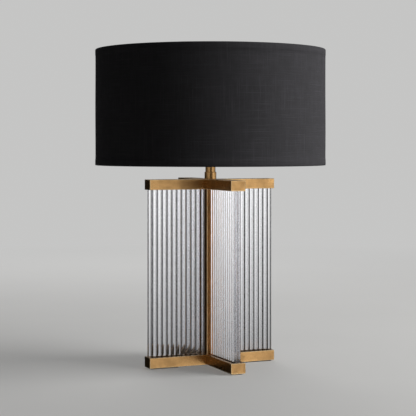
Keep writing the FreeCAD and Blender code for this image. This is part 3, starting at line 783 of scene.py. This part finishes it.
class LAMP_OT_shade_frame(bpy.types.Operator):
    """White lining, wire rings and spider inside the shade"""
    bl_idname = "lamp.shade_frame"
    bl_label = "Shade lining and frame"

    def execute(self, context):
        low, high = heights("shade_liner")
        radius = outer_radius("shade_liner")
        sheet = plain("styrene_lining", (0.80, 0.79, 0.75), (0.74, 0.73, 0.69), 0.45, cloud=18.0, grain=260.0)
        section = ring(radius - 0.8 * MM, radius, low + 3 * MM, high - 3 * MM)
        lining = turned(rounded(section, 0.2 * MM, 3), 240)
        piece("styrene_lining", [lining], sheet, "shade", ["shade_liner"])
        enamel = plain("white_enamel", (0.82, 0.81, 0.77), (0.74, 0.73, 0.69), 0.35, grain=300.0)
        for level in ("upper", "lower"):
            node = f"shade_{level}_ring"
            low, high = heights(node)
            wire = (high - low) / 2
            loop = turned(arc((outer_radius(node) - wire, low + wire), wire, 0, 360, 17), 180)
            piece(f"{level}_wire_ring", [loop], enamel, "shade", [node])
        piece("spider", self.spider(), enamel, "shade", ["shade_spider"])
        return {"FINISHED"}

    def spider(self):
        """Arms as tubes along straight runs and arcs, at equal turns about the axis, and a flat hub."""
        hub = 13.5 * MM
        half_thick = 1.5 * MM
        level = heights("harp")[1] - STUD_RISE + half_thick
        top = sum(heights("shade_upper_ring")) / 2
        reach = outer_radius("shade_upper_ring")
        knee = reach - 22 * MM
        bend = 12 * MM
        wire = 2 * MM
        corners = [
            (hub - 4 * MM, 0, level), (knee - (top - level), 0, level), (knee, 0, top),
            (reach - 3 * MM, 0, top),
        ]
        arm = swept(bent_line(corners, [bend, bend], 10), wire, (0, 1, 0), 16)
        plate = turned(rounded(ring(STUD_HOLE, hub, level - half_thick, level + half_thick), 0.5 * MM), 64)
        return [*round_axis(arm, 3, 90), plate]


class LAMP_OT_harp(bpy.types.Operator):
    """Harp, saddle and locking ferrules"""
    bl_idname = "lamp.harp"
    bl_label = "Harp"

    def execute(self, context):
        brass = metal("satin_brass", context.scene.lamp_fittings)
        foot, high = heights("harp")
        seat = high - STUD_RISE
        piece("harp_wire", [self.wire(foot, seat), *self.stud(seat)], brass, "root", ["harp"])
        for side, place in (("left", -HARP_LEG), ("right", HARP_LEG)):
            self.ferrule(side, place, brass)
        names = [f"{level}_pipe_{kind}" for level in ("lower", "upper") for kind in ("nut", "washer")]
        names += ["harp_saddle", "threaded_pipe", "column_locators", "terminal_screws"]
        finish_nodes(names, metal("zinc_plate", context.scene.lamp_steel))
        return {"FINISHED"}

    def wire(self, foot, seat):
        """Wire up each leg, out along its flare and over the shoulder to the level crown, in tangent arcs."""
        wire = 1.9 * MM
        crown = seat - 2.5 * MM - wire
        flare = math.radians(14)
        knee = 40 * MM
        bend = foot + 34 * MM + knee * math.tan(flare / 2)
        shoulder = HARP_LEG + (crown - bend) * math.tan(flare)
        over = (shoulder - 4.3 * MM) / math.tan((math.pi / 2 + flare) / 2)
        corners = [(HARP_LEG, 0, foot), (HARP_LEG, 0, bend), (shoulder, 0, crown), (0, 0, crown)]
        right = bent_line(corners, [knee, over], 24)
        return swept(np.concatenate([right[:-1], right[::-1] * [-1, 1, 1]]), wire, (0, 1, 0), 24)

    def stud(self, seat):
        """Round seat, and a stud whose radius is a sine of height less turn, one crest to each thread."""
        pitch = 0.94 * MM
        radius = 2.85 * MM
        end = seat + 13 * MM
        block = mm([(0, -6), (6, -6), (6, -0.4), (5.6, 0), (0, 0)], height=seat)
        outline = np.concatenate([
            [(0, seat - MM), (radius, seat - MM)], upright(radius, seat, end + 0.5 * MM, 70),
            mm([(2.4, 14), (0, 14)], height=seat)])

        def thread(turn, height):
            return 0.22 * MM * np.sin(FULL_TURN * height / pitch - turn) * (height < end)

        return turned(block, 48), turned(outline, 36, thread)

    def ferrule(self, side, place, brass):
        """Sleeve whose outline has a rolled edge and two shallow grooves."""
        node = f"{side}_harp_ferrule"
        low, high = heights(node)
        outer = float(span(node)[1][1])
        grooves = [(outer - 0.3 * MM * (i % 2), low + (2 + 1.2 * i) * MM) for i in range(5)]
        outline = [(outer - MM, low), (outer, low), *grooves, (outer, high), (outer - MM, high)]
        sleeve = moved(turned(rounded(outline, 0.25 * MM, 4), 48), Matrix.Translation((place, 0, 0)))
        piece(f"{side}_ferrule_sleeve", [sleeve], brass, f"{side}_ferrule", [node])


class LAMP_OT_socket(bpy.types.Operator):
    """Socket cap, shell, lining, contacts and switch key"""
    bl_idname = "lamp.socket"
    bl_label = "Socket"

    def execute(self, context):
        brass = bpy.data.materials["satin_brass"]
        for name, node, outline in (
            ("socket_dome", "socket_cap", self.cap("socket_cap")),
            ("socket_barrel", "socket_shell", self.shell("socket_shell")),
        ):
            piece(name, [turned(outline, 96)], brass, "root", [node])
        black = plain("black_moulding", (0.020, 0.020, 0.021), (0.032, 0.032, 0.033), 0.35, grain=500.0)
        card = plain("insulating_card", (0.50, 0.42, 0.31), (0.40, 0.33, 0.24), 0.85, cloud=120.0)
        bright = metal("bright_brass", context.scene.lamp_fittings, patina=0.05, roughness=0.18)
        finish_nodes(["socket_insulator", "cord_bushing"], black)
        finish_nodes(["insulating_sleeve"], card)
        finish_nodes(["screw_shell", "centre_contact"], bright)
        piece("key_thumb_piece", self.key(), black, "switch_key", ["switch_key"])
        return {"FINISHED"}

    def cap(self, node):
        """Dome outline: hub, quarter circle out to the rim, and a rolled bead."""
        low, high = heights(node)
        rim = outer_radius(node)
        hub = 8.5 * MM
        dome = rim - hub
        centre = (hub, high - 5 * MM)
        return np.concatenate([
            [(PIPE_HOLE, low), (hub, low)], arc(centre, dome, -90, 0, 16),
            mm([(0, -1), (-0.2, 0), (-1, 0)], rim, high), arc(centre, dome - MM, 0, -90, 16),
            [(PIPE_HOLE, centre[1] - dome + MM), (PIPE_HOLE, low)]])

    def shell(self, node):
        """Shell outline with a rolled mouth and two raised beads, each a bell curve of height."""
        low, high = heights(node)
        outer = outer_radius(node)
        wall = upright(outer - 0.4 * MM, low, high - 1.2 * MM, 60)
        for place in (0.42, 0.50):
            away = wall[:, 1] - low - place * (high - low)
            wall[:, 0] += 0.35 * MM * np.exp(-(away / (0.9 * MM)) ** 2)
        mouth = arc((outer - 0.8 * MM, high - 0.8 * MM), 0.8 * MM, 0, 180, 7)
        inside = mm([(-1.6, -1.2), (-1.2, -3)], outer, high)
        return np.concatenate([wall, mouth, inside, mm([(-1.2, 0), (-0.4, 0)], outer, low)])

    def key(self):
        """Flat oval thumb piece on a round shaft. The oval's sides are the cosine and sine of the turn to
        the power 0.85, its thickness the sine of the rise to the power 0.5, and its edge the cosine of the
        rise to the power 0.35."""
        low, high = span("switch_key")
        z = float(low[2] + high[2]) / 2
        half = np.array([1.3, 6.5, 5.5]) * MM
        turn = np.linspace(0, FULL_TURN, 49)
        rise = np.linspace(-math.pi / 2, math.pi / 2, 17)[:, None]

        def power_of(value, exponent):
            return np.sign(value) * np.abs(value) ** exponent

        edge = power_of(np.cos(rise), 0.35)
        thick = power_of(np.sin(rise), 0.5) * np.ones_like(turn)
        oval = np.stack([
            thick, edge * power_of(np.cos(turn), 0.85), edge * power_of(np.sin(turn), 0.85)], axis=-1)
        reach = float(high[1] - low[1]) - half[1]
        shaft = turned(ring(0, 2 * MM, 0, reach), 32)
        place = Matrix.Translation((0, float(high[1]), z)) @ Matrix.Rotation(math.radians(90), 4, "X")
        return [grid(oval * half + [0.0, float(low[1]) + half[1], z]), moved(shaft, place)]


class LAMP_OT_bulb(bpy.types.Operator):
    """Frosted bulb and its screw base"""
    bl_idname = "lamp.bulb"
    bl_label = "Bulb"

    def execute(self, context):
        glass = plain(
            "frosted_glass", (0.86, 0.85, 0.82), (0.82, 0.81, 0.78), 0.42, grain=1500.0,
            sockets={"Coat Weight": 0.15})
        envelope = turned(self.envelope(*heights("bulb_glass")), 96)
        piece("bulb_envelope", [envelope], glass, "bulb", ["bulb_glass"])
        tin = metal("rolled_aluminium", context.scene.lamp_steel, patina=0.12, roughness=0.22)
        base = self.base(*heights("bulb_base"))
        piece("bulb_screw_base", [base], tin, "bulb", ["bulb_base"])
        return {"FINISHED"}

    def envelope(self, low, high):
        """Ball, and a neck joined to it by an arc tangent to both, with an inner wall 1 mm in."""
        ball, neck, sweep = 30 * MM, 12.6 * MM, 34 * MM
        centre = (0.0, high - ball)
        reach = neck + sweep
        drop = math.sqrt((ball + sweep) ** 2 - reach ** 2)
        blend = (reach, centre[1] - drop)
        meet = math.degrees(math.atan2(drop, -reach))
        outer, inner = (
            np.concatenate([
                [(neck - inset, low)], arc(blend, sweep + inset, 180, meet, 14),
                arc(centre, ball - inset, meet - 180, 90, 30)[1:]])
            for inset in (0.0, MM))
        return np.concatenate([outer, inner[::-1], outer[:1]])

    def base(self, low, high):
        """Screw base: its radius is a cosine of height less turn, one crest to each thread, faded at both
        ends."""
        radius = outer_radius("bulb_base")
        pitch = 3.6 * MM
        depth = 0.6 * MM
        start, end = low + 6.5 * MM, high - 4 * MM

        def thread(turn, height):
            fade = np.clip((height - start) / (2 * MM), 0, 1) * np.clip((end - height) / (2 * MM), 0, 1)
            return depth * fade * np.cos(FULL_TURN * height / pitch - turn)

        foot = mm([(0, 0), (3, 0), (4.5, 1.2), (4.8, 2.2), (9.5, 4.8), (11.8, 5.8)], height=low)
        wall = upright(radius - depth, start, end, 64)
        head = mm([(-0.3, -3), (-0.1, -0.6), (-0.4, 0), (-0.8, 0)], radius, high)
        return turned(np.concatenate([foot, wall, head, [(0, high - 5.2 * MM)]]), 72, thread)


class LAMP_OT_finial(bpy.types.Operator):
    """Brass finial on top of the harp"""
    bl_idname = "lamp.finial"
    bl_label = "Finial"

    def execute(self, context):
        low, high = heights("finial")
        ball = 8 * MM
        waist = 3.9 * MM
        knob = arc((0.0, high - ball), ball, -math.degrees(math.acos(waist / ball)), 90, 26)
        foot = mm([(6.1, 0), (6.5, 0.4), (6.5, 2.4), (6.1, 3.0), (4.4, 3.1)], height=low)
        bored = low + 12 * MM
        outline = np.concatenate([
            [(STUD_HOLE, low)], foot, [(waist, low + 3.6 * MM), (waist, knob[0, 1] - 0.2 * MM)], knob,
            [(0, bored), (STUD_HOLE, bored), (STUD_HOLE, low)]])
        brass = bpy.data.materials["neck_brass"]
        piece("finial_knob", [turned(outline, 72)], brass, "finial", ["finial"])
        return {"FINISHED"}


class LAMP_OT_underside(bpy.types.Operator):
    """Bottom plate, screws, felt, ballast and soft strips"""
    bl_idname = "lamp.underside"
    bl_label = "Underside"

    def execute(self, context):
        dark = plain(
            "blacked_steel", (0.035, 0.035, 0.036), (0.060, 0.059, 0.058), 0.5, cloud=35.0,
            sockets={"Metallic": 0.6})
        felt = plain(
            "wool_felt", (0.012, 0.012, 0.012), (0.035, 0.035, 0.036), 0.95, grain=2600.0, depth=0.2 * MM,
            sockets={"Sheen Weight": 0.4})
        rubber = plain(
            "silicone_strip", (0.50, 0.50, 0.48), (0.42, 0.42, 0.40), 0.5,
            sockets={"Transmission Weight": 0.2})
        finish_nodes(["base_plate", "base_ballast"], dark)
        pads = round_axis(self.pad(*on_right_arm("felt_pads"), 3 * MM, 0.5 * MM), 4)
        made = piece("felt_feet", pads, felt, "root", ["felt_pads"], sharp=60.0)
        for level in ("lower", "upper"):
            node = f"{level}_rod_cushions"
            strips = self.strips(node)
            made = piece(f"{level}_rod_strips", strips, rubber, "root", [node], sharp=60.0)
        zinc = bpy.data.materials["zinc_plate"]
        node = "base_plate_screws"
        piece("countersunk_screws", self.screws(node), zinc, "root", [node], sharp=30.0)
        return {"FINISHED"}

    def pad(self, low, high, corner, roll):
        """Soft slab between two corners, its outline a rectangle with rounded corners. The outline draws in
        by the roll times one less the sine of a half turn over the thickness, and closes in a point at each
        face."""
        centre = (low + high) / 2
        reach = (high - low) / 2
        line = rounded(np.array(ring(-1, 1, -1, 1)) * reach[:2], corner, 11)
        turn = np.linspace(0, math.pi, 9)[:, None]
        drawn = 1 - roll * (1 - np.sin(turn)) / reach[:2]
        drawn = np.concatenate([np.zeros((1, 2)), drawn, np.zeros((1, 2))])
        height = np.concatenate([[-reach[2]], -reach[2] * np.cos(turn[:, 0]), [reach[2]]])
        points = np.empty((len(height), len(line), 3))
        points[..., :2] = line[None] * drawn[:, None]
        points[..., 2] = height[:, None]
        return grid(points + centre)

    def strips(self, node):
        """Soft strips at the ends of the rods: two beside each other in each arm, one to a row, round at both
        ends as their pocket is."""
        low, high = on_right_arm(node)
        parts = []
        for row in ("inner", "outer"):
            first, last = span(f"right_fin_{row}_rods")
            middle = (first[1] + last[1]) / 2
            half = abs(middle) - 0.1 * MM
            start = np.array([first[0], middle - half, low[2]])
            end = np.array([last[0], middle + half, high[2]])
            parts += round_axis(self.pad(start, end, half, 0.2 * MM), 4)
        return parts

    def screws(self, node):
        """Countersunk heads: a cone whose flat face holds a hexagon hollow, at the plate's four screw places.
        The hollow's edge is the flat's distance over the cosine of the turn folded into a sixth."""
        low, high = span(node)
        head = 4 * MM
        shank = 2 * MM
        place = float(high[0]) - head
        aside = 8.5 * MM
        top = float(high[2] - low[2]) / MM
        turn = np.linspace(0, FULL_TURN, 73)
        sixth = FULL_TURN / 6
        hexagon = 1.25 * MM / np.cos((turn + sixth / 2) % sixth - sixth / 2)
        rings = [
            (0, 1.4), (hexagon * 0.98, 1.4), (hexagon, 0.1), (hexagon + 0.1 * MM, 0), (head - 0.2 * MM, 0),
            (head, 0.2), (shank, 2.2), (shank, top), (0, top),
        ]
        radius = np.array([reach * np.ones_like(turn) for reach, _ in rings])
        height = np.array([low[2] + rise * MM * np.ones_like(turn) for _, rise in rings])
        screw = grid(np.stack([radius * np.cos(turn), radius * np.sin(turn), height], axis=-1))
        places = ((place, aside, 0), (-aside, place, 0), (-place, -aside, 0), (aside, -place, 0))
        return [moved(screw, Matrix.Translation(spot)) for spot in places]


class LAMP_OT_stage(bpy.types.Operator):
    """Floor, lights, world and camera"""
    bl_idname = "lamp.stage"
    bl_label = "Stage"

    def execute(self, context):
        look = context.scene.lamp_stage
        self.floor(look)
        self.lights(look)
        self.world(context.scene, look)
        self.camera(context.scene, look)
        context.scene.view_settings.view_transform = "Standard"
        context.scene.cycles.max_bounces = 32
        context.scene.cycles.transmission_bounces = 32
        return {"FINISHED"}

    def floor(self, look):
        """Flat round floor that fades into the backdrop. Only a share of its light reaches the lamp, and
        gloss and glass look through it to the world."""
        reach, sides = 14.0, 96
        near = 0.45
        rim = arc((0, 0), reach, 0, 360, sides + 1)[:-1]
        mesh = bpy.data.meshes.new("floor")
        mesh.from_pydata([(x, y, 0.0) for x, y in rim.tolist()], [], [list(range(sides))])
        made = placed("floor", mesh)
        paint = plain(
            "floor_paint", tuple(look.floor), tuple(0.97 * c for c in look.floor), 0.8, cloud=3.0,
            depth=0.01 * MM, sockets={"Specular IOR Level": 0.1})
        tree = paint.node_tree
        surface = tree.get_output_node("ALL").inputs["Surface"]
        painted = surface.links[0].from_socket
        place = put(tree, "ShaderNodeTexCoord").outputs["Object"]
        away = put(tree, "ShaderNodeVectorMath", {0: place}, operation="LENGTH").outputs[1]
        seen, through = rays_of(tree)
        far = times_plus(tree, step_of(tree, away, near, look.fade), 1 - look.glow, look.glow)
        far = maths(tree, "MULTIPLY", far, seen)
        wall = put(tree, "ShaderNodeEmission", {"Color": opaque(*look.backdrop)}).outputs[0]
        black = put(tree, "ShaderNodeBsdfDiffuse", {"Color": opaque(0, 0, 0)}).outputs[0]
        clear = put(tree, "ShaderNodeBsdfTransparent").outputs[0]
        faded = either_of(tree, far, painted, wall)
        weaker = either_of(tree, maths(tree, "MAXIMUM", seen, look.bounce), black, faded)
        tree.links.new(either_of(tree, through, weaker, clear), surface)
        mesh.materials.append(paint)

    def lights(self, look):
        """Soft square lights aimed at the lamp: the key far round to the right, one behind the lamp and one
        overhead. Glass and gloss don't see them, so that rods and brass show the room at every height."""
        target = np.array([0.0, 0.0, 0.3])
        for name, watts, size, turn, reach, height in (
            ("key", look.key, look.key_size, -32.0, 2.7, 1.3),
            ("back", look.back, 1.8, 75.0, 2.6, 1.5),
            ("overhead", look.overhead, 2.0, 30.0, 0.3, 2.6),
        ):
            light = bpy.data.lights.new(name, "AREA")
            light.energy = watts
            light.size = size
            made = placed(name, light)
            heading = math.radians(turn)
            place = np.array([reach * math.cos(heading), reach * math.sin(heading), height])
            aim = target - place
            made.location = place
            made.rotation_euler = (
                math.atan2(math.hypot(aim[0], aim[1]), -aim[2]), 0, math.atan2(-aim[0], aim[1]))
            made.visible_camera = False
            made.visible_glossy = False
            made.visible_transmission = False

    def world(self, scene, look):
        """Even light for matt surfaces. The camera sees the backdrop. Gloss and glass see a room whose
        level is that of the heading round the lamp times a share by the rise, and that is an even grey
        straight up and down."""
        world = bpy.data.worlds.new("studio")
        scene.world = world
        world.use_nodes = True
        tree = world.node_tree
        tree.nodes.clear()
        heading = put(tree, "ShaderNodeTexCoord").outputs["Generated"]
        x, y, rise = axes_of(tree, heading)
        turn = times_plus(tree, maths(tree, "ARCTAN2", y, x), 1 / FULL_TURN, 0.5)
        room = scaled_of(
            tree, self.levels(tree, turn, ROOM, 360, "EASE"),
            self.levels(tree, times_plus(tree, rise, 0.5, 0.5), ROOM_RISE, 2, "LINEAR"))
        steep = step_of(tree, maths(tree, "ABSOLUTE", rise), 0.35, 0.75)
        even_grey = opaque(0.42, 0.42, 0.42)
        room = blend_of(tree, steep, room, even_grey)
        seen, through = rays_of(tree)
        soft, backdrop, mirrored = (
            put(tree, "ShaderNodeBackground", {"Color": shown, "Strength": strength}).outputs[0]
            for shown, strength in (
                (opaque(1, 1, 1), look.ambient), (opaque(*look.backdrop), 1.0), (room, 1.0)))
        both = either_of(tree, through, either_of(tree, seen, soft, backdrop), mirrored)
        put(tree, "ShaderNodeOutputWorld", {"Surface": both})

    def levels(self, tree, value, spots, reach, ease):
        """Grey ramp from spots of (place, level), whose places run over the reach with nought in the
        middle."""
        ramp = put(tree, "ShaderNodeValToRGB", {0: value})
        ramp.color_ramp.interpolation = ease
        made = ramp.color_ramp.elements
        while len(made) < len(spots):
            made.new(0.5)
        for spot, (place, level) in zip(made, spots):
            spot.position = 0.5 + place / reach
            spot.color = opaque(level, level, level)
        return ramp.outputs[0]

    def camera(self, scene, look):
        """Level camera whose frame is shifted down, so that uprights stay upright."""
        data = bpy.data.cameras.new("camera")
        data.sensor_width = 36.0
        data.lens = look.focal * data.sensor_width
        data.shift_y = -look.horizon
        data.clip_end = 100.0
        made = placed("camera", data)
        away = np.array([math.sin(look.turn), math.cos(look.turn)]) * -look.distance
        left = np.array([math.cos(look.turn), -math.sin(look.turn)]) * -look.aside
        made.location = (*(away + left), look.height)
        made.rotation_euler = (math.pi / 2, 0, -look.turn)
        scene.camera = made


STEPS = (
    LAMP_OT_glass_rods, LAMP_OT_brass_crosses, LAMP_OT_neck, LAMP_OT_shade_cover, LAMP_OT_shade_frame,
    LAMP_OT_harp, LAMP_OT_socket, LAMP_OT_bulb, LAMP_OT_finial, LAMP_OT_underside, LAMP_OT_stage,
)
LOOKS = {
    "lamp_brass": LampBrass, "lamp_fittings": LampFittings, "lamp_steel": LampSteel, "lamp_glass": LampGlass,
    "lamp_shade": LampShade, "lamp_stage": LampStage,
}


class LAMP_PT_panel(bpy.types.Panel):
    """Buttons for the lamp's pieces and its stage"""
    bl_label = "Column table lamp"
    bl_idname = "LAMP_PT_panel"
    bl_space_type = "VIEW_3D"
    bl_region_type = "UI"
    bl_category = "Lamp"

    def draw(self, context):
        for step in STEPS:
            self.layout.operator(step.bl_idname)
        for name in LOOKS:
            look = getattr(context.scene, name)
            box = self.layout.box()
            for field in look.__annotations__:
                box.prop(look, field)


def register():
    for group in LOOKS.values():
        bpy.utils.register_class(group)
    for name, group in LOOKS.items():
        setattr(bpy.types.Scene, name, PointerProperty(type=group))
    for made in (*STEPS, LAMP_PT_panel):
        bpy.utils.register_class(made)


def unregister():
    for made in (LAMP_PT_panel, *reversed(STEPS)):
        bpy.utils.unregister_class(made)
    for name, group in LOOKS.items():
        delattr(bpy.types.Scene, name)
        bpy.utils.unregister_class(group)


def main():
    """Registers the classes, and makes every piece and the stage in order."""
    register()
    for step in STEPS:
        _, name = step.bl_idname.split(".")
        getattr(bpy.ops.lamp, name)()


if __name__ == "__main__":
    main()
